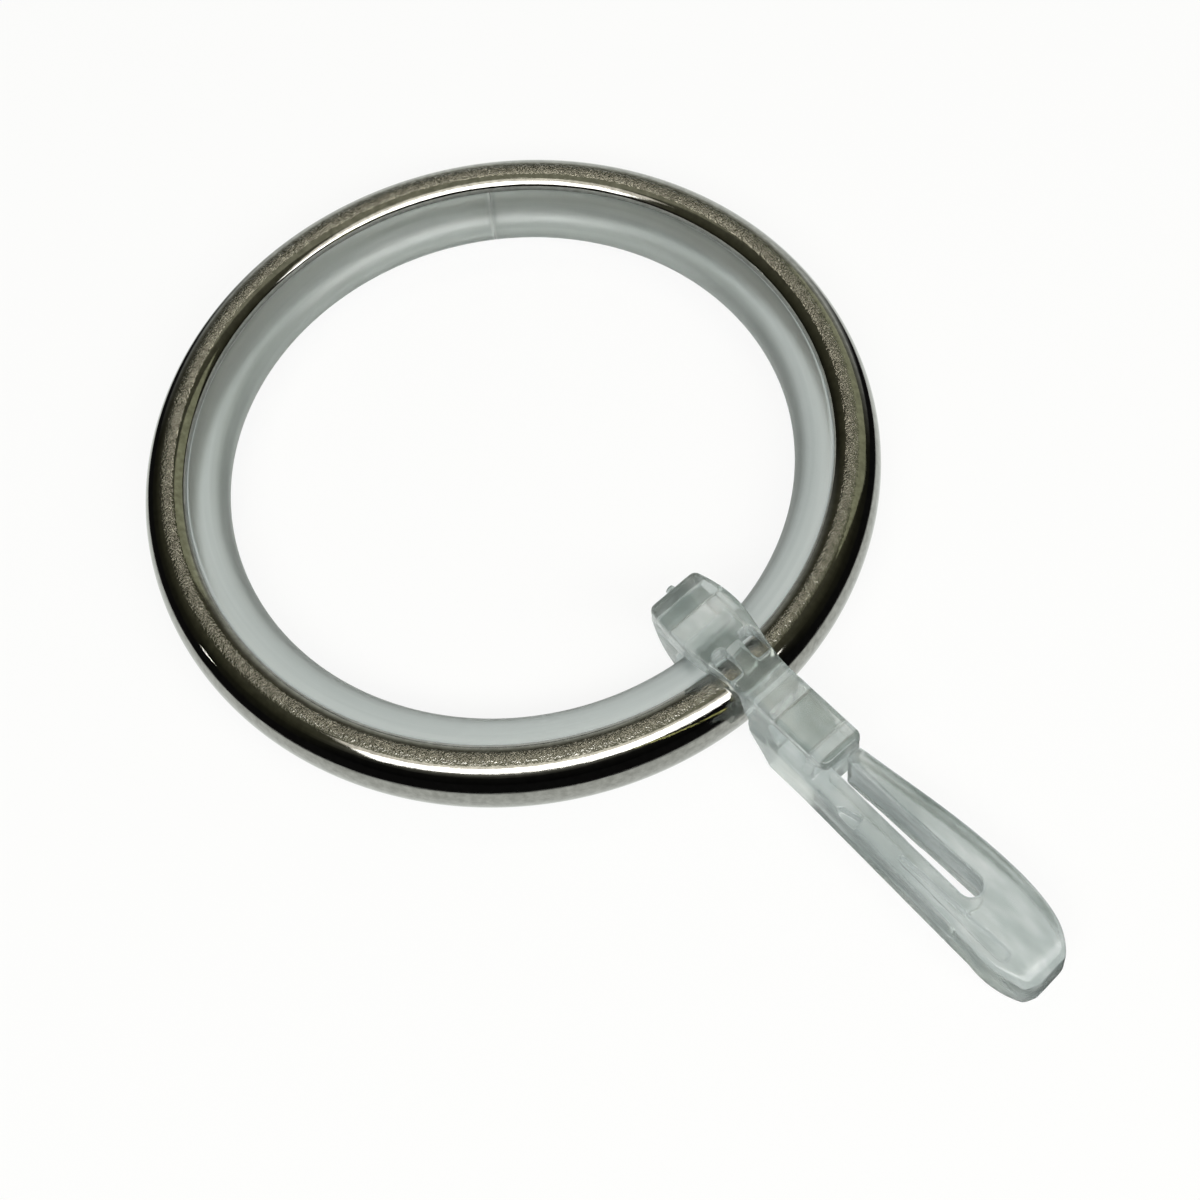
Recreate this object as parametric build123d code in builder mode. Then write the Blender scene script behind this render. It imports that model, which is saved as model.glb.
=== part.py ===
from build123d import *
from math import sqrt
import os

# Curtain ring with a clip-on hook, lying flat as it rests. A rolled steel channel carries a pale plastic
# liner in its open side. A clear moulded hook clips over the ring from above: a top plate crosses the
# ring, a springy jaw curls under the liner inside the bore, and a strut on the outside leads down to a
# flat hairpin loop, which goes into the pocket of a curtain tape. The origin is on the ring's axis, in
# the plane that the ring lies on. The hook points along +X.

# Ring: driving dimensions, millimetres
bore_d = 40.0
liner_projection = 2.75
channel_half_width = 2.0
lip_share = 0.625
ring_height = 5.4
sheet = 0.4

# Liner: section and fit in the channel
liner_half_height = 1.85
liner_play = 0.06
liner_foot_depth = 1.7
liner_seam_gap = 0.16
liner_seam_angle = 142.5

# Hook: clip on the ring
clip_clearance = 0.35
plate_thickness = 1.15
plate_crown = 0.3
plate_end_half_width = 2.05
plate_half_width = 2.5
flap_half_width = 1.72
flap_thickness = 1.0
flap_length = 7.35
plate_corner = 0.5
plate_edge = 0.25
jaw_reach = 2.85
jaw_half_width = 2.0
jaw_tip_reach = 1.2
jaw_ground_gap = 0.25
relief_length = 1.4
relief_height = 0.8
relief_inset = 1.4
window_length = 2.1
window_width = 1.2
window_neck = 1.2
window_shift = 0.25
window_corner = 0.4
gate_stub_d = 0.7
gate_stub_length = 0.45
gate_offset = 0.15

# Hook: strut, web and hairpin loop
strut_half_width = 2.3
strut_top_half_width = 1.75
strut_foot = 2.6
strut_gap = 0.8
hollow_floor = 1.75
hollow_corner = 0.35
web_thickness = 0.9
leg_height = 4.0
hook_reach = 25.75
loop_half_width = 2.9
end_wall = 6.4
slot_width = 1.6
slot_tip_width = 1.1
mouth_gap = 0.5
tip_cover = 0.35
tip_half_width = 1.85
end_run = 4.3
end_corner = 0.35
edge_round = 0.5
end_round = 1.5
slot_edge = 0.2
groove_depth = 0.4
groove_length = 9.2
groove_narrow = 0.36
groove_wide = 0.95
notch_length = 1.7
notch_depth = 0.55

# Places worked out from the sizes above
channel_depth = channel_half_width * (1 + lip_share)
bore_r = bore_d / 2
lip_r = bore_r + liner_projection
outer_r = lip_r + channel_depth
oval_r = outer_r - channel_half_width
mid_z = ring_height / 2
lip_half_height = mid_z * sqrt(1 - ((oval_r - lip_r) / channel_half_width) ** 2)

flap_z = ring_height
flap_top_z = flap_z + flap_thickness
crown_z = ring_height + clip_clearance + plate_thickness + plate_crown
plate_x = bore_r - jaw_reach
root_x = outer_r + strut_foot
flap_x = outer_r + flap_length
tip_x = flap_x - tip_cover
mouth_x = tip_x - mouth_gap
hollow_x = mouth_x - web_thickness
far_x = outer_r + hook_reach
slot_x = far_x - end_wall
inner_half = slot_width / 2
prong_length = far_x - tip_x
notch_x = tip_x + 2.1

os.makedirs("parts", exist_ok=True)

# Outer ring: an oval sheet section, open towards the bore, turned about the axis
with BuildPart() as outer_ring:
    with BuildSketch(Plane.XZ) as channel_section:
        with Locations((oval_r, mid_z)):
            Ellipse(channel_half_width, mid_z)
            Ellipse(channel_half_width - sheet, mid_z - sheet, mode=Mode.SUBTRACT)
        with Locations((lip_r, mid_z)):
            Rectangle(channel_depth, ring_height, align=(Align.MAX, Align.CENTER), mode=Mode.SUBTRACT)
    revolve(axis=Axis.Z)
outer_ring.part.label = "outer_ring"
export_step(outer_ring.part, "parts/outer_ring.step")

# Liner: a rounded head in the bore and a foot behind the channel's lips, bent round to a butt seam
with BuildPart() as liner:
    with BuildSketch(Plane.XZ) as liner_section:
        with Locations((oval_r, mid_z)):
            Ellipse(channel_half_width - sheet - liner_play, mid_z - sheet - liner_play)
        with Locations((lip_r + liner_foot_depth, mid_z)):
            Rectangle(channel_depth, ring_height, align=(Align.MIN, Align.CENTER), mode=Mode.SUBTRACT)
        with Locations((lip_r - liner_play, mid_z)):
            Rectangle(channel_depth, ring_height, align=(Align.MAX, Align.CENTER), mode=Mode.SUBTRACT)
        with BuildSketch(mode=Mode.PRIVATE) as head:
            with Locations((lip_r - liner_play, mid_z)):
                Ellipse(liner_projection - liner_play, liner_half_height)
                Rectangle(channel_depth, ring_height, align=(Align.MIN, Align.CENTER), mode=Mode.SUBTRACT)
        add(head.sketch)
    revolve(axis=Axis.Z)
    with PolarLocations(lip_r, 1, start_angle=liner_seam_angle):
        with Locations((0, 0, mid_z)):
            Box(2 * channel_depth, liner_seam_gap, ring_height, mode=Mode.SUBTRACT)
liner.part.label = "liner"
export_step(liner.part, "parts/liner.step")

# Ring space: the ring's section with the clip's clearance all round it
with BuildPart() as ring_space:
    with BuildSketch(Plane.XZ) as space_section:
        with Locations((oval_r, mid_z)):
            Ellipse(channel_half_width + clip_clearance, mid_z + clip_clearance)
        with Locations((lip_r, mid_z)):
            Ellipse(liner_projection + clip_clearance, liner_half_height + clip_clearance)
        with Locations((lip_r - clip_clearance, mid_z)):
            Rectangle(channel_half_width, 2 * lip_half_height, align=(Align.MIN, Align.CENTER))
        with Locations((lip_r, mid_z - lip_half_height), (lip_r, mid_z + lip_half_height)):
            Circle(clip_clearance)
    revolve(axis=Axis.Z)

# Top plate: an arched strip over the ring, wide beside its windows and narrow along the flap
wide_x = lip_r - 1.75
neck_x = outer_r + 1
plate_start_z = crown_z - 1.5 * plate_crown
with BuildPart() as top_plate:
    with BuildSketch(Plane.XZ) as plate_side:
        with BuildLine():
            Line((plate_x, flap_z), (plate_x, plate_start_z))
            Spline((plate_x, plate_start_z), (wide_x, crown_z), (neck_x, flap_top_z),
                   tangents=((1, 0.35), (1, 0)))
            Polyline((neck_x, flap_top_z), (flap_x, flap_top_z), (flap_x, flap_z), (plate_x, flap_z))
        make_face()
    extrude(amount=plate_half_width + 1, both=True)
    with BuildSketch(Plane.XY) as plate_plan:
        with BuildLine():
            Line((plate_x, 0), (plate_x, plate_end_half_width))
            Spline((plate_x, plate_end_half_width), (wide_x, plate_half_width), (neck_x, flap_half_width),
                   tangents=((1, 0.2), (1, 0)))
            Polyline((neck_x, flap_half_width), (flap_x, flap_half_width), (flap_x, 0))
            mirror(about=Plane.XZ)
        make_face()
        fillet(plate_plan.vertices().group_by(Axis.X)[-1], radius=plate_corner)
        fillet(plate_plan.vertices().group_by(Axis.X)[0], radius=plate_corner)
    extrude(amount=2 * crown_z, mode=Mode.INTERSECT)
    top_edges = top_plate.edges().filter_by(lambda e: e.center().Z > flap_top_z - plate_edge / 4)
    sides = top_edges.filter_by(lambda e: abs(e.center().Y) > window_neck / 2)
    ends = top_edges.filter_by(lambda e: e.center().X > flap_x - plate_corner / 4)
    fillet(ShapeList(set(sides + ends)), radius=plate_edge)

# Jaw: a tapering finger down the inside of the ring that curls under the liner
jaw_tip_x = bore_r + jaw_tip_reach
jaw_run = jaw_tip_x - plate_x
curl_x = jaw_tip_x - 0.1 * jaw_run
with BuildPart() as jaw:
    with BuildSketch(Plane.XZ) as jaw_side:
        with BuildLine():
            Spline((plate_x, flap_z), (plate_x + 0.05 * jaw_run, 1.5 * mid_z),
                   (plate_x + 0.2 * jaw_run, 0.85 * mid_z), (plate_x + 0.48 * jaw_run, 0.37 * mid_z),
                   (curl_x, jaw_ground_gap),
                   tangents=((0, -1), (1, -0.15)))
            Polyline((curl_x, jaw_ground_gap), (jaw_tip_x, jaw_ground_gap), (jaw_tip_x, mid_z),
                     (oval_r, mid_z), (oval_r, flap_z), (plate_x, flap_z))
        make_face()
    extrude(amount=jaw_half_width, both=True)

# Strut: rises from the loop, clear of the ring's lower side, and meets the plate over the ring
hollow_left = outer_r + strut_gap + 1
with BuildPart() as strut:
    with BuildSketch(Plane.XZ) as strut_side:
        with BuildLine():
            Spline((root_x, 0), (outer_r + 0.65 * strut_foot, 0.55 * mid_z),
                   (outer_r + strut_gap, 1.04 * mid_z), (outer_r + 0.55 * strut_gap, 1.45 * mid_z),
                   tangents=((-0.6, 1), (-0.3, 1)))
            Polyline((outer_r + 0.55 * strut_gap, 1.45 * mid_z), (oval_r, 1.45 * mid_z), (oval_r, flap_z),
                     (mouth_x, flap_z), (mouth_x, 0), (root_x, 0))
        make_face()
    extrude(amount=strut_half_width, both=True)
    with BuildSketch(Plane.XZ) as hollow_side:
        with BuildLine():
            Polyline((hollow_left, flap_z), (hollow_x, flap_z), (hollow_x, hollow_floor), close=True)
        make_face()
        fillet(hollow_side.vertices(), radius=hollow_corner)
    extrude(amount=strut_half_width, both=True, mode=Mode.SUBTRACT)
    with BuildSketch(Plane.YZ) as strut_front:
        with BuildLine():
            Line((0, 0), (strut_half_width, 0))
            Polyline((strut_half_width, 0), (strut_half_width, 0.75 * leg_height),
                     (strut_top_half_width, flap_z), (0, flap_z))
            mirror(about=Plane.YZ)
        make_face()
    extrude(amount=far_x, mode=Mode.INTERSECT)

# Hairpin loop: a flat outline with a belly on the prong's side, rounded down at its far end and slotted
w = loop_half_width
with BuildPart() as loop:
    with BuildSketch(Plane.XY) as loop_plan:
        with BuildLine():
            Line((root_x, tip_half_width), (root_x, -strut_half_width))
            Line((root_x, -strut_half_width), (far_x - end_run, -w))
            ThreePointArc((far_x - end_run, -w), (far_x - 0.45 * end_run, -0.98 * w),
                          (far_x - end_corner, -0.78 * w))
            Polyline((far_x - end_corner, -0.78 * w), (far_x, -0.45 * w), (far_x - end_corner / 3, 0.4 * w))
            Spline((far_x - end_corner / 3, 0.4 * w), (far_x - 0.28 * end_run, 0.7 * w),
                   (far_x - 0.65 * end_run, 0.89 * w), (far_x - 1.65 * end_run, 1.02 * w),
                   (tip_x + 0.32 * prong_length, 0.89 * w), (tip_x, tip_half_width))
            Line((tip_x, tip_half_width), (root_x, tip_half_width))
        make_face()
    extrude(amount=leg_height)
    with BuildSketch(Plane.XZ) as loop_side:
        with BuildLine():
            Polyline((far_x + 1, leg_height - end_round), (far_x + 1, 0), (root_x, 0), (root_x, leg_height),
                     (far_x - 2 * end_round, leg_height))
            Spline((far_x - 2 * end_round, leg_height),
                   (far_x - 0.45 * end_round, leg_height - 0.4 * end_round),
                   (far_x + 0.1, leg_height - end_round), tangents=((1, 0), (0.35, -1)))
            Line((far_x + 0.1, leg_height - end_round), (far_x + 1, leg_height - end_round))
        make_face()
    extrude(amount=2 * w, both=True, mode=Mode.INTERSECT)
    flats = loop.faces().filter_by(Axis.Z)
    rims = flats.edges().filter_by(lambda e: root_x + 0.1 < e.center().X < far_x - 1.2)
    fillet(rims.filter_by(lambda e: abs(e.tangent_at(0.5).X) > 0.5), radius=edge_round)
    with BuildSketch(Plane.XY) as slot_plan:
        with BuildLine():
            CenterArc((mouth_x, 0), slot_tip_width / 2, 0, 360)
            CenterArc((slot_x - inner_half, 0), inner_half, 0, 360)
        make_hull()
        with Locations((mouth_x, 0)):
            Rectangle(slot_tip_width, 2 * w, align=(Align.MAX, Align.CENTER), mode=Mode.SUBTRACT)
            Rectangle(mouth_gap, 2 * w, align=(Align.MIN, Align.MIN))
    extrude(amount=leg_height, mode=Mode.SUBTRACT)
    slot_rim = loop.faces().filter_by(Axis.Z).sort_by(Axis.Z)[-1].edges()
    slot_rim = slot_rim.filter_by(lambda e: abs(e.center().Y) < slot_width and e.center().X > flap_x)
    fillet(slot_rim, radius=slot_edge)
    with BuildSketch(Plane.XY.offset(leg_height)) as groove_plan:
        with BuildLine():
            CenterArc((far_x - 2.2 - groove_length, -0.66 * w), groove_narrow / 2, 0, 360)
            CenterArc((far_x - 2.2 - groove_wide / 2, -0.66 * w), groove_wide / 2, 0, 360)
        make_hull()
    extrude(amount=-groove_depth, mode=Mode.SUBTRACT)
    with BuildSketch(Plane.XY.offset(leg_height)) as notch_plan:
        with BuildLine():
            Polyline((notch_x, -0.75 * w), (notch_x + notch_length, -0.6 * w),
                     (notch_x + notch_length, -1.1 * w), (notch_x + 0.35 * notch_length, -1.1 * w),
                     close=True)
        make_face()
    extrude(amount=-notch_depth, mode=Mode.SUBTRACT)

# Hook: one clear moulding of plate, jaw, strut and loop, bored to pass the ring with clearance
with BuildPart() as hook:
    add(top_plate.part)
    add(jaw.part)
    add(strut.part)
    add(loop.part)
    add(ring_space.part, mode=Mode.SUBTRACT)
    with BuildSketch(Plane.XY.offset(ring_height)) as windows:
        with Locations((oval_r - window_shift, window_neck / 2 + window_width / 2)):
            Rectangle(window_length, window_width)
        with Locations((oval_r - window_shift, -window_neck / 2 - window_width / 2)):
            Rectangle(window_length, window_width)
        fillet(windows.vertices().group_by(Axis.X)[0], radius=window_corner)
    extrude(amount=crown_z, mode=Mode.SUBTRACT)
    with BuildSketch(Plane.XZ) as relief:
        with Locations((plate_x + relief_inset, flap_z)):
            SlotOverall(relief_length, relief_height)
    extrude(amount=plate_half_width, both=True, mode=Mode.SUBTRACT)
    with BuildSketch(Plane.YZ.offset(plate_x - gate_stub_length)) as gate:
        with Locations((gate_offset, flap_z + 0.6)):
            Circle(gate_stub_d / 2)
    extrude(amount=2 * gate_stub_length)
hook.part.label = "hook"
export_step(hook.part, "parts/hook.step")
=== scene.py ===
"""Looks of a curtain ring with a clip-on hook.

The ring is bright nickel-plated sheet steel rolled to an open oval channel, the liner in it is translucent
extruded nylon, and the hook is one clear moulding. All three lie flat on a pale studio floor.
Lengths are named in millimetres and turned to metres by MM.
"""
import math

import bmesh
import bpy
import numpy as np
from mathutils import Matrix, Vector


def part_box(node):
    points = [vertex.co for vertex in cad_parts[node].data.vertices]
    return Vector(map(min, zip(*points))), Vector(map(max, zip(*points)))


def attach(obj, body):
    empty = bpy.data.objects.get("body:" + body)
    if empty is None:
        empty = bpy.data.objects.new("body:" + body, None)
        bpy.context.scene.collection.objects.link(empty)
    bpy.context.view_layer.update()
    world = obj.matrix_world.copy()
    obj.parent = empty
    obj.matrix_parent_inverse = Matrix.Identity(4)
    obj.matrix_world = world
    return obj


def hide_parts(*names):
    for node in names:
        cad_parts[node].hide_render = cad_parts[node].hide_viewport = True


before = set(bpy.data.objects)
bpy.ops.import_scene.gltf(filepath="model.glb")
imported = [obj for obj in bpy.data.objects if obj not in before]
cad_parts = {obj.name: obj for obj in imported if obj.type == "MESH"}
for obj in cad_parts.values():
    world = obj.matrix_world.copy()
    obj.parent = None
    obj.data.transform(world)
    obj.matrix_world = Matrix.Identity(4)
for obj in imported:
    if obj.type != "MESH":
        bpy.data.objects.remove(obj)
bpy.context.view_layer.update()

MM = 0.001

# Camera

PHOTO_SIZE = 1200
PHOTO_FOCAL_PX = 2375.7
SENSOR_MM = 36.0
CAMERA_PLACE = (77.97, -44.34, 144.75)
CAMERA_RIGHT = Vector((0.665, 0.742, -0.089))
CAMERA_AHEAD = Vector((-0.404, 0.257, -0.878))
CAMERA_NEAREST = 5
CAMERA_FARTHEST = 20000


def add_camera():
    """Camera at the photograph's place: its own axes are right, up and back."""
    data = bpy.data.cameras.new("photo_camera")
    data.sensor_fit = "HORIZONTAL"
    data.sensor_width = SENSOR_MM
    data.lens = SENSOR_MM * PHOTO_FOCAL_PX / PHOTO_SIZE
    data.clip_start = CAMERA_NEAREST * MM
    data.clip_end = CAMERA_FARTHEST * MM
    camera = bpy.data.objects.new("photo_camera", data)
    bpy.context.scene.collection.objects.link(camera)
    back = -CAMERA_AHEAD.normalized()
    right = (CAMERA_RIGHT - CAMERA_RIGHT.dot(back) * back).normalized()
    up = back.cross(right)
    turn = Matrix((right, up, back)).transposed().to_4x4()
    camera.matrix_world = Matrix.Translation(Vector(CAMERA_PLACE) * MM) @ turn
    bpy.context.scene.camera = camera


# Sizes of the ring and the liner, as in the CAD

_, ring_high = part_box("outer_ring")
OUTER_R = ring_high.x / MM
RING_HEIGHT = ring_high.z / MM
MID_Z = RING_HEIGHT / 2
OVAL_HALF_WIDTH = 2.0
OVAL_R = OUTER_R - OVAL_HALF_WIDTH
SHEET = 0.4
LIP_R = 22.75
BORE_R = 20.0
LINER_HALF_HEIGHT = 1.85
FOOT_DEPTH = 1.7
FOOT_R = LIP_R + FOOT_DEPTH
SEAM_ANGLE = math.radians(142.5)

# The liner's play behind the lips and its butt seam, drawn closer than the 0.06 and 0.16 of the CAD

LINER_PLAY = 0.03
SEAM_GAP = 0.06

# Fineness of the meshes

CHANNEL_POINTS = 400
HEAD_POINTS = 300
FOOT_POINTS = 80
OUTLINE_STEP = 0.08
CHANNEL_ROUNDING = 0.32
LINER_ROUNDING = 0.24
RING_SEGMENTS = 300
HOOK_VOXEL = 0.1
HOOK_SMOOTHINGS = 16


# Colours and nodes

def linear(hex_colour):
    """sRGB hex to the linear colour that Blender's sockets take."""
    out = []
    for i in (0, 2, 4):
        c = int(hex_colour[i:i + 2], 16) / 255
        out.append(c / 12.92 if c <= 0.04045 else ((c + 0.055) / 1.055) ** 2.4)
    return (*out, 1.0)


def node(tree, kind, settings=None, stops=(), **links):
    """Adds a node.

    settings are its properties, and stops the (position, hex) stops of a colour ramp. Each link is a value or
    an output for an input socket, which is given by its name or by i and its number."""
    made = tree.nodes.new(kind)
    for key, value in (settings or {}).items():
        setattr(made, key, value)
    if stops:
        elements = made.color_ramp.elements
        while len(elements) < len(stops):
            elements.new(0.5)
        for element, (place, colour) in zip(elements, stops):
            element.position = place
            element.color = linear(colour)
    for key, value in links.items():
        numbered = key[0] == "i" and key[1:].isdigit()
        socket = made.inputs[int(key[1:]) if numbered else key.replace("_", " ")]
        if isinstance(value, bpy.types.NodeSocket):
            tree.links.new(value, socket)
        else:
            socket.default_value = value
    return made


def new_material(name):
    """An empty node material with its output, ready for a surface."""
    material = bpy.data.materials.new(name)
    material.use_nodes = True
    tree = material.node_tree
    tree.nodes.clear()
    output = tree.nodes.new("ShaderNodeOutputMaterial")
    return material, tree, output


# Surfaces

def rounded_outline(points, step, window):
    """Walks a closed outline at even steps and averages each point over a window, so corners become round.

    points is an (n, 2) array, step and window are lengths in its unit."""
    ring = np.vstack([points, points[:1]])
    run = np.concatenate([[0], np.cumsum(np.hypot(*np.diff(ring, axis=0).T))])
    count = int(round(run[-1] / step))
    at = np.arange(count) / count * run[-1]
    even = np.stack([np.interp(at, run, ring[:, k]) for k in (0, 1)], 1)
    half = max(1, int(round(window / step / 2)))
    shifts = range(-half, half + 1)
    return sum(np.roll(even, s, axis=0) for s in shifts) / len(shifts)


def grid_mesh(name, points, closed_along, uv):
    """A mesh from a grid of points, (along, round, xyz) in metres, with quads between neighbours.

    It is closed round. Along, it is closed too, or each end gets a cap of one face. uv is an array of
    (along, round, 2)."""
    along, around = points.shape[:2]
    index = np.arange(along * around).reshape(along, around)
    a = np.arange(along if closed_along else along - 1)[:, None]
    r = np.arange(around)[None, :]
    next_a = (a + 1) % along
    next_r = (r + 1) % around
    quads = np.stack([index[a, r], index[next_a, r], index[next_a, next_r], index[a, next_r]], -1)
    faces = quads.reshape(-1, 4).tolist()
    if not closed_along:
        faces.append(index[0].tolist())
        faces.append(index[-1][::-1].tolist())
    mesh = bpy.data.meshes.new(name)
    mesh.from_pydata(points.reshape(-1, 3).tolist(), [], faces)
    mesh.update()
    layer = mesh.uv_layers.new(name="surface_mm")
    loops = np.zeros(len(mesh.loops), np.int32)
    mesh.loops.foreach_get("vertex_index", loops)
    layer.data.foreach_set("uv", uv.reshape(-1, 2)[loops].astype(np.float32).ravel())
    work = bmesh.new()
    work.from_mesh(mesh)
    bmesh.ops.recalc_face_normals(work, faces=work.faces)
    work.to_mesh(mesh)
    work.free()
    mesh.shade_smooth()
    return mesh


def turned(name, outline, angles, closed):
    """An outline in (radius, height) turned about the ring's axis: x = r cos a, y = r sin a.

    The UV map holds millimetres along the ring and round the outline."""
    a = angles[:, None]
    r = outline[None, :, 0]
    z = outline[None, :, 1]
    points = np.stack([r * np.cos(a), r * np.sin(a), z + 0 * a], -1) * MM
    run = np.concatenate([[0], np.cumsum(np.hypot(*np.diff(outline, axis=0).T))])
    uv = np.stack(np.broadcast_arrays(a * OVAL_R, run[None, :]), -1)
    return grid_mesh(name, points, closed, uv)


def oval(half_width, half_height, radius, first, last, count):
    """Points on an upright oval about radius, from one of its angles to another.

    The radius grows by the half width times the cosine, the height by the half height times the sine."""
    t = np.linspace(first, last, count)
    return np.stack([radius + half_width * np.cos(t), MID_Z + half_height * np.sin(t)], 1)


def channel_outline():
    """Outside of the rolled channel, round one lip, back along its inside and round the other lip."""
    inner_half_width = OVAL_HALF_WIDTH - SHEET
    outer_end = math.acos((LIP_R - OVAL_R) / OVAL_HALF_WIDTH)
    inner_end = math.acos((LIP_R - OVAL_R) / inner_half_width)
    outside = oval(OVAL_HALF_WIDTH, MID_Z, OVAL_R, -outer_end, outer_end, CHANNEL_POINTS)
    inside = oval(inner_half_width, MID_Z - SHEET, OVAL_R, inner_end, -inner_end, CHANNEL_POINTS)
    return rounded_outline(np.vstack([outside, inside]), OUTLINE_STEP, CHANNEL_ROUNDING)


def liner_outline():
    """The liner's foot inside the channel, the shoulders behind the lips and its domed head in the bore."""
    root_r = LIP_R - LINER_PLAY
    play = SHEET + LINER_PLAY
    half_width = OVAL_HALF_WIDTH - play
    half_height = MID_Z - play
    start = math.acos((root_r - OVAL_R) / half_width)
    end = math.acos((FOOT_R - OVAL_R) / half_width)
    low = oval(half_width, half_height, OVAL_R, -start, -end, FOOT_POINTS)
    high = oval(half_width, half_height, OVAL_R, end, start, FOOT_POINTS)
    head = oval(BORE_R - root_r, -LINER_HALF_HEIGHT, root_r, -math.pi / 2, math.pi / 2, HEAD_POINTS)
    return rounded_outline(np.vstack([low, high, head]), OUTLINE_STEP, LINER_ROUNDING)


def add_object(name, mesh):
    """A new object at the origin in the scene."""
    made = bpy.data.objects.new(name, mesh)
    bpy.context.scene.collection.objects.link(made)
    return made


def bake_modifiers(piece):
    """Replaces a piece's mesh by what its modifiers make of it, and removes them."""
    bpy.context.view_layer.update()
    graph = bpy.context.evaluated_depsgraph_get()
    mesh = bpy.data.meshes.new_from_object(piece.evaluated_get(graph))
    piece.modifiers.clear()
    piece.data = mesh


def moulded_copy(name, source, voxel, smoothings):
    """A copy of a CAD node drawn again on a fine even grid and smoothed, so each edge is round as moulded."""
    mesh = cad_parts[source].data.copy()
    mesh.name = name
    work = bmesh.new()
    work.from_mesh(mesh)
    bmesh.ops.remove_doubles(work, verts=work.verts, dist=0.001 * MM)
    work.to_mesh(mesh)
    work.free()
    piece = add_object(name, mesh)
    grid = piece.modifiers.new("even_grid", "REMESH")
    grid.mode = "VOXEL"
    grid.voxel_size = voxel * MM
    soften = piece.modifiers.new("soften", "SMOOTH")
    soften.factor = 0.5
    soften.iterations = smoothings
    bake_modifiers(piece)
    piece.data.shade_smooth()
    return piece


# Materials

def nickel_plate():
    """Nickel plate on rolled steel: a warm grey mirror, smooth but for its top and bottom crests.

    There the rolls stretched the sheet. The grain is 0.05 mm, drawn 0.18 mm wide so that it shows. The tone
    varies over 0.5 mm, and draw marks 5 mm long and a sixth of a millimetre wide run along the ring."""
    grain_size = 0.18
    tone_size = 0.5
    marks_per_mm = (0.2, 6.0, 1.0)
    relief_depth = 0.08
    crest_starts = 0.955 * MID_Z * MM
    crest_full = 0.992 * MID_Z * MM
    material, tree, output = new_material("nickel_plated_steel")
    place = node(tree, "ShaderNodeTexCoord").outputs["Object"]
    height = node(tree, "ShaderNodeSeparateXYZ", i0=place).outputs["Z"]
    above = node(tree, "ShaderNodeMath", {"operation": "SUBTRACT"}, i0=height, i1=MID_Z * MM)
    from_middle = node(tree, "ShaderNodeMath", {"operation": "ABSOLUTE"}, i0=above.outputs[0])
    worked = node(tree, "ShaderNodeMapRange", {"interpolation_type": "SMOOTHSTEP"},
                  Value=from_middle.outputs[0], From_Min=crest_starts, From_Max=crest_full)
    patches = node(tree, "ShaderNodeTexNoise", Vector=place, Scale=1 / (tone_size * MM), Detail=2.0,
                   Roughness=0.5)
    tone = node(tree, "ShaderNodeValToRGB", stops=((0.3, "8d8c87"), (0.7, "a3a29d")),
                i0=patches.outputs["Fac"])
    rough = node(tree, "ShaderNodeMapRange", Value=worked.outputs[0], To_Min=0.05, To_Max=0.14)
    grain = node(tree, "ShaderNodeTexNoise", Vector=place, Scale=1 / (grain_size * MM), Detail=2.0,
                 Roughness=0.6)
    level = node(tree, "ShaderNodeMath", {"operation": "SUBTRACT"}, i0=grain.outputs["Fac"], i1=0.5)
    pitted = node(tree, "ShaderNodeMath", {"operation": "MULTIPLY"}, i0=level.outputs[0],
                  i1=worked.outputs[0])
    along = node(tree, "ShaderNodeUVMap", {"uv_map": "surface_mm"}).outputs["UV"]
    drawn = node(tree, "ShaderNodeMapping", Vector=along, Scale=marks_per_mm)
    marks = node(tree, "ShaderNodeTexNoise", Vector=drawn.outputs[0], Scale=1.0, Detail=4.0, Roughness=0.65)
    relief = node(tree, "ShaderNodeMath", {"operation": "MULTIPLY_ADD"}, i0=marks.outputs["Fac"], i1=0.06,
                  i2=pitted.outputs[0])
    bump = node(tree, "ShaderNodeBump", Strength=1.0, Distance=relief_depth * MM, Height=relief.outputs[0])
    shader = node(tree, "ShaderNodeBsdfPrincipled", Base_Color=tone.outputs[0], Metallic=1.0,
                  Roughness=rough.outputs[0], Normal=bump.outputs[0])
    tree.links.new(shader.outputs[0], output.inputs["Surface"])
    return material


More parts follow.
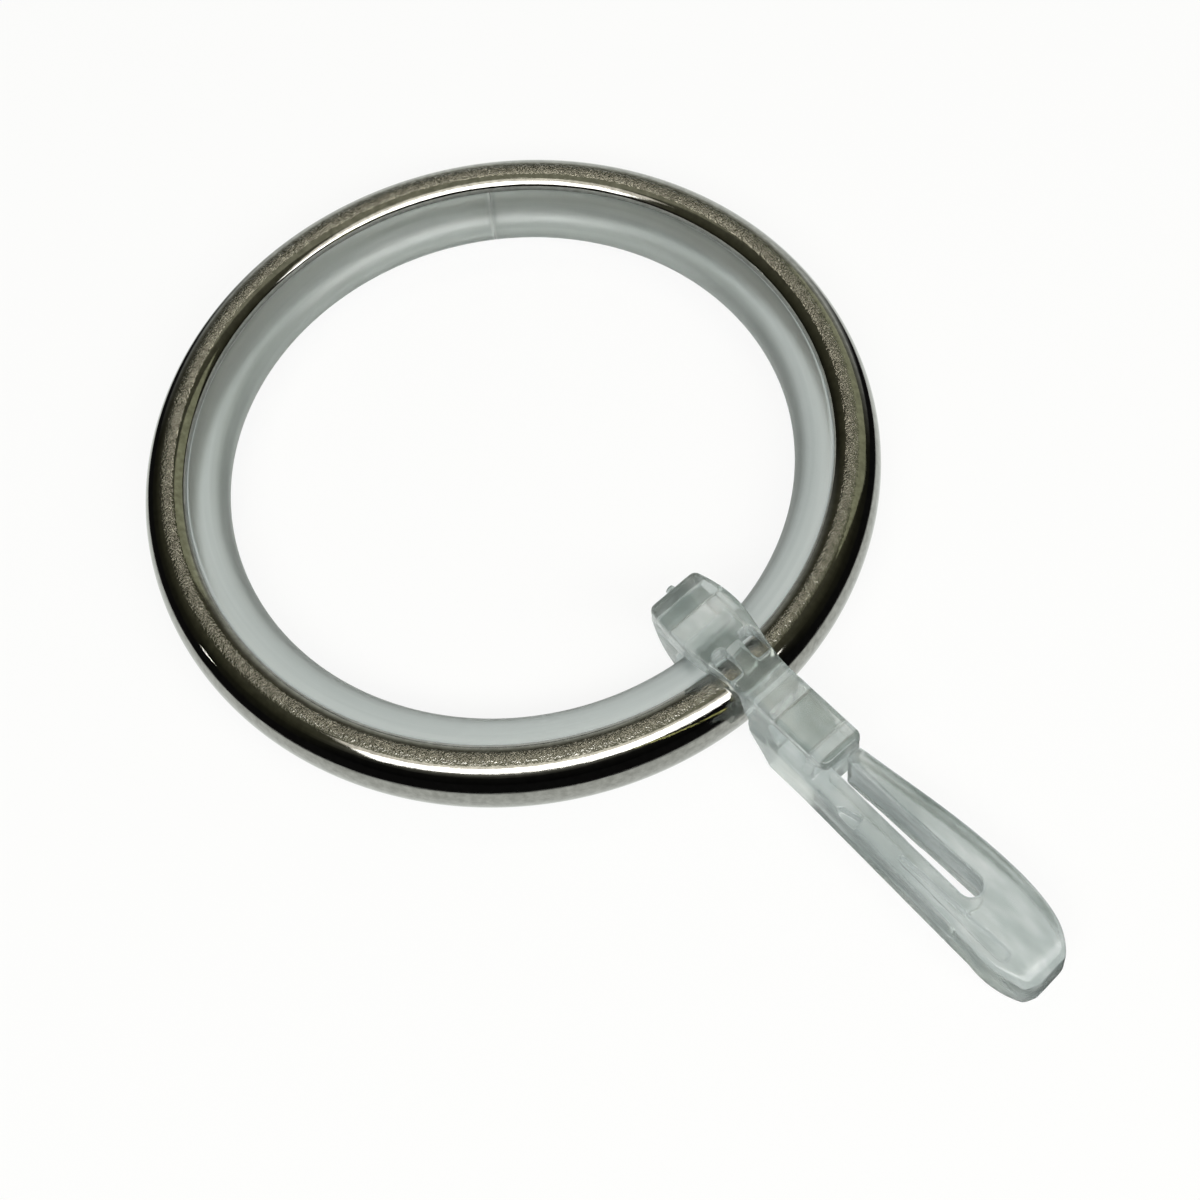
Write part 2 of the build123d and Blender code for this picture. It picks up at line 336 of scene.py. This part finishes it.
def liner_nylon(first, last):
    """Natural nylon, extruded and bent round: translucent pale grey with a soft gloss.

    The dark channel behind it and the pale floor show through as a gradient. Draw lines 30 mm long and 0.6 mm
    wide run along it, over a faint grain of 0.35 mm. At the liner's two ends, at first and last in
    millimetres along the ring, a painted highlight makes the colour whiter for 0.25 mm and draws the light
    line at the seam."""
    lines_per_mm = (0.032, 1.6, 1.0)
    grain_size = 0.35
    relief_depth = 0.05
    glint_starts = 0.25
    glint_full = 0.05
    material, tree, output = new_material("extruded_nylon")
    along = node(tree, "ShaderNodeUVMap", {"uv_map": "surface_mm"}).outputs["UV"]
    drawn = node(tree, "ShaderNodeMapping", Vector=along, Scale=lines_per_mm)
    lines = node(tree, "ShaderNodeTexNoise", Vector=drawn.outputs[0], Scale=1.0, Detail=3.0)
    tone = node(tree, "ShaderNodeValToRGB", stops=((0.3, "bfc7c5"), (0.7, "d3dad8")), i0=lines.outputs["Fac"])
    centre = (first + last) / 2
    half = last - centre
    run = node(tree, "ShaderNodeSeparateXYZ", i0=along).outputs["X"]
    off = node(tree, "ShaderNodeMath", {"operation": "SUBTRACT"}, i0=run, i1=centre)
    from_centre = node(tree, "ShaderNodeMath", {"operation": "ABSOLUTE"}, i0=off.outputs[0])
    # Painted highlight: the colour turns whiter over the last 0.25 mm at each end of the liner, for the light
    # line at the seam
    seam_glint = node(tree, "ShaderNodeMapRange", {"interpolation_type": "SMOOTHSTEP"}, Value=from_centre.outputs[0],
               From_Min=half - glint_starts, From_Max=half - glint_full)
    colour = node(tree, "ShaderNodeMix", {"data_type": "RGBA"}, i0=seam_glint.outputs[0], i6=tone.outputs[0],
                  i7=linear("e6ebe9"))
    place = node(tree, "ShaderNodeTexCoord").outputs["Object"]
    grain = node(tree, "ShaderNodeTexNoise", Vector=place, Scale=1 / (grain_size * MM), Detail=3.0)
    relief = node(tree, "ShaderNodeMath", {"operation": "MULTIPLY_ADD"}, i0=lines.outputs["Fac"], i1=2.0,
                  i2=grain.outputs["Fac"])
    bump = node(tree, "ShaderNodeBump", Strength=0.15, Distance=relief_depth * MM, Height=relief.outputs[0])
    shader = node(tree, "ShaderNodeBsdfPrincipled", Base_Color=colour.outputs[2], Roughness=0.36, IOR=1.53,
                  Transmission_Weight=0.86, Normal=bump.outputs[0])
    tree.links.new(shader.outputs[0], output.inputs["Surface"])
    return material


def clear_styrene():
    """Clear styrene from a worn mould: a soft gloss over a hazy grey-green body that blurs what lies behind.

    Streaks and waves 1.5 mm wide and 5 mm long follow the flow along the hook. The haze varies over
    0.6 mm."""
    streak_width = 1.5
    streak_stretch = 0.3
    haze_size = 0.6
    wave_depth = 0.15
    material, tree, output = new_material("clear_styrene")
    place = node(tree, "ShaderNodeTexCoord").outputs["Object"]
    flow = node(tree, "ShaderNodeMapping", Vector=place, Scale=(streak_stretch, 1.0, 1.0))
    waves = node(tree, "ShaderNodeTexNoise", Vector=flow.outputs[0], Scale=1 / (streak_width * MM),
                 Detail=2.5, Roughness=0.5)
    tone = node(tree, "ShaderNodeValToRGB", stops=((0.3, "a2acaa"), (0.5, "bcc5c3"), (0.72, "e2e6e5")),
                i0=waves.outputs["Fac"])
    haze = node(tree, "ShaderNodeTexNoise", Vector=place, Scale=1 / (haze_size * MM), Detail=2.0)
    rough = node(tree, "ShaderNodeMapRange", Value=haze.outputs["Fac"], To_Min=0.15, To_Max=0.28)
    bump = node(tree, "ShaderNodeBump", Strength=0.7, Distance=wave_depth * MM, Height=waves.outputs["Fac"])
    shader = node(tree, "ShaderNodeBsdfPrincipled", Base_Color=tone.outputs[0], Roughness=rough.outputs[0],
                  IOR=1.4, Transmission_Weight=0.85, Coat_Weight=0.3, Coat_Roughness=0.14,
                  Normal=bump.outputs[0])
    tree.links.new(shader.outputs[0], output.inputs["Surface"])
    return material


# Studio

DARK_WAY = (0.707, -0.707, 0.0)
KEY_WAY = (0.843, -0.537, 0.0)
FLOOR_HALF = 1200
FLOOR_DROP = 0.02
FLOOR_DARKENS = 31.5
FLOOR_DARK = 33.5
WHITE_SHARE = 0.88


def add_floor():
    """A pale floor. What the camera and clear plastic see of it is nearly white and keeps the shadow.

    What a shiny surface mirrors of it is pale too, but only for a few millimetres outside the ring, and dark
    like the room beyond them. Behind the ring it stays pale."""
    size = FLOOR_HALF * MM
    mesh = bpy.data.meshes.new("studio_floor")
    mesh.from_pydata([(-size, -size, 0), (size, -size, 0), (size, size, 0), (-size, size, 0)], [],
                     [(0, 1, 2, 3)])
    floor = add_object("studio_floor", mesh)
    floor.location.z = -FLOOR_DROP * MM
    material, tree, output = new_material("pale_paper")
    path = node(tree, "ShaderNodeLightPath")
    paper = node(tree, "ShaderNodeBsdfDiffuse", Color=linear("e6e8e6"))
    white = node(tree, "ShaderNodeEmission", Color=(1, 1, 1, 1), Strength=1.0)
    seen = node(tree, "ShaderNodeMath", {"operation": "MAXIMUM"}, i0=path.outputs["Is Camera Ray"],
                i1=path.outputs["Is Transmission Ray"])
    share = node(tree, "ShaderNodeMath", {"operation": "MULTIPLY"}, i0=seen.outputs[0], i1=WHITE_SHARE)
    plain = node(tree, "ShaderNodeMixShader", i0=share.outputs[0], i1=paper.outputs[0], i2=white.outputs[0])
    place = node(tree, "ShaderNodeTexCoord").outputs["Object"]
    way = node(tree, "ShaderNodeVectorMath", {"operation": "NORMALIZE"}, i0=place)
    front = node(tree, "ShaderNodeVectorMath", {"operation": "DOT_PRODUCT"}, i0=way.outputs[0],
                 i1=DARK_WAY)
    not_behind = node(tree, "ShaderNodeMapRange", {"interpolation_type": "SMOOTHSTEP"},
                      Value=front.outputs["Value"], From_Min=-0.9, From_Max=-0.5)
    reach = node(tree, "ShaderNodeVectorMath", {"operation": "LENGTH"}, i0=place)
    far = node(tree, "ShaderNodeMapRange", {"interpolation_type": "SMOOTHSTEP"}, Value=reach.outputs["Value"],
               From_Min=FLOOR_DARKENS * MM, From_Max=FLOOR_DARK * MM)
    gone = node(tree, "ShaderNodeMath", {"operation": "MULTIPLY"}, i0=far.outputs[0],
                i1=not_behind.outputs[0])
    near_floor = node(tree, "ShaderNodeEmission", Color=linear("eef2ee"), Strength=1.05)
    dark_floor = node(tree, "ShaderNodeEmission", Color=(1, 1, 1, 1), Strength=0.01)
    mirrored = node(tree, "ShaderNodeMixShader", i0=gone.outputs[0], i1=near_floor.outputs[0],
                    i2=dark_floor.outputs[0])
    by_gloss = node(tree, "ShaderNodeMath", {"operation": "SUBTRACT", "use_clamp": True},
                    i0=path.outputs["Is Glossy Ray"], i1=path.outputs["Is Transmission Ray"])
    surface = node(tree, "ShaderNodeMixShader", i0=by_gloss.outputs[0], i1=plain.outputs[0],
                   i2=mirrored.outputs[0])
    tree.links.new(surface.outputs[0], output.inputs["Surface"])
    mesh.materials.append(material)


def add_softbox(name, place, width, length, watts, hex_colour, roll=0.0):
    """An area lamp that faces the ring's middle, rolled about that line by some degrees."""
    data = bpy.data.lights.new(name, "AREA")
    data.shape = "RECTANGLE"
    data.size = width * MM
    data.size_y = length * MM
    data.energy = watts
    data.color = linear(hex_colour)[:3]
    lamp = bpy.data.objects.new(name, data)
    bpy.context.scene.collection.objects.link(lamp)
    spot = Vector(place) * MM
    turn = (-spot).to_track_quat("-Z", "Y").to_matrix().to_4x4()
    lamp.matrix_world = Matrix.Translation(spot) @ turn @ Matrix.Rotation(math.radians(roll), 4, "Z")


def add_room():
    """The room round the table, which the nickel mirrors. The camera and clear plastic see it nearly white.

    Each ramp gives the room's level by height, from the floor at 0 to overhead at 1. Behind the ring it is
    pale low down, on the dark side it is dark up to a soft ceiling, and below the key lamp it brightens
    towards the lamp."""
    world = bpy.data.worlds.new("room")
    bpy.context.scene.world = world
    world.use_nodes = True
    tree = world.node_tree
    tree.nodes.clear()
    output = tree.nodes.new("ShaderNodeOutputWorld")
    way = node(tree, "ShaderNodeTexCoord").outputs["Generated"]
    height = node(tree, "ShaderNodeSeparateXYZ", i0=way).outputs["Z"]
    behind = node(tree, "ShaderNodeValToRGB", i0=height, stops=(
        (0.0, "e0e4de"), (0.17, "b8baae"), (0.42, "6e6e62"), (0.6, "58584a"), (0.86, "606052"),
        (0.885, "b8b8a2"), (1.0, "a4a48e")))
    dark_side = node(tree, "ShaderNodeValToRGB", i0=height, stops=(
        (0.0, "24241e"), (0.3, "2c2c22"), (0.45, "3e3e30"), (0.6, "4a4a3a"), (0.86, "5e5e4e"),
        (0.885, "a8a892"), (1.0, "a4a48e")))
    lamp_side = node(tree, "ShaderNodeValToRGB", i0=height, stops=(
        (0.0, "0e0e0e"), (0.4, "1c1c1a"), (0.53, "62625a"), (0.64, "b0b0a8"), (0.8, "e2e2dc"),
        (0.93, "c0c0b4"), (1.0, "9a9a88")))
    front = node(tree, "ShaderNodeVectorMath", {"operation": "DOT_PRODUCT"}, i0=way, i1=DARK_WAY)
    dim = node(tree, "ShaderNodeMapRange", {"interpolation_type": "SMOOTHSTEP"},
               Value=front.outputs["Value"], From_Min=-1.0, From_Max=-0.5)
    to_key = node(tree, "ShaderNodeVectorMath", {"operation": "DOT_PRODUCT"}, i0=way, i1=KEY_WAY)
    lit = node(tree, "ShaderNodeMapRange", {"interpolation_type": "SMOOTHSTEP"},
               Value=to_key.outputs["Value"], From_Min=0.3, From_Max=0.6)
    walls = node(tree, "ShaderNodeMix", {"data_type": "RGBA"}, i0=dim.outputs[0], i6=behind.outputs[0],
                 i7=dark_side.outputs[0])
    colour = node(tree, "ShaderNodeMix", {"data_type": "RGBA"}, i0=lit.outputs[0], i6=walls.outputs[2],
                  i7=lamp_side.outputs[0])
    path = node(tree, "ShaderNodeLightPath")
    seen = node(tree, "ShaderNodeMath", {"operation": "MAXIMUM"}, i0=path.outputs["Is Camera Ray"],
                i1=path.outputs["Is Transmission Ray"])
    room = node(tree, "ShaderNodeBackground", Color=colour.outputs[2], Strength=1.0)
    pale = node(tree, "ShaderNodeBackground", Color=linear("f4f6f4"), Strength=1.0)
    surface = node(tree, "ShaderNodeMixShader", i0=seen.outputs[0], i1=room.outputs[0], i2=pale.outputs[0])
    tree.links.new(surface.outputs[0], output.inputs["Surface"])


# Build

add_camera()
around = np.linspace(0, 2 * math.pi, RING_SEGMENTS, endpoint=False)
ring = add_object("nickel_ring", turned("nickel_ring", channel_outline(), around, True))
ring.data.materials.append(nickel_plate())
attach(ring, "ring")
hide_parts("outer_ring")

half_seam = SEAM_GAP / LIP_R / 2
bend = np.linspace(SEAM_ANGLE + half_seam, SEAM_ANGLE - half_seam + 2 * math.pi, RING_SEGMENTS + 1)
liner = add_object("nylon_liner", turned("nylon_liner", liner_outline(), bend, False))
liner.data.materials.append(liner_nylon(bend[0] * OVAL_R, bend[-1] * OVAL_R))
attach(liner, "ring")
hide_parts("liner")

hook = moulded_copy("clear_hook", "hook", HOOK_VOXEL, HOOK_SMOOTHINGS)
hook.data.materials.clear()
hook.data.materials.append(clear_styrene())
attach(hook, "clip_hook")
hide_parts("hook")

# The key gives the broad white band, the spill its upper edge, the ceiling panel the glints on the crest, the
# side wall the olive band on the right, and the two window lamps the thin yellow line and the small streak.
add_floor()
add_room()
add_softbox("key_softbox", (303, -141, 371), 960, 170, 3.1, "fffefc", -14.0)
add_softbox("key_spill", (203, -116, 442), 800, 150, 0.55, "fffaf0", -14.0)
add_softbox("ceiling_panel", (-183, 106, 453), 260, 100, 0.2, "fff6e6")
add_softbox("side_wall", (0, 419, 272), 380, 290, 0.14, "fbffd6")
add_softbox("window_edge", (465, -37, 179), 360, 10, 0.028, "d8d88c", -57.0)
add_softbox("window_slit", (-272, -418, 36), 26, 5, 0.008, "ffffff")
bpy.context.scene.view_settings.view_transform = "Standard"
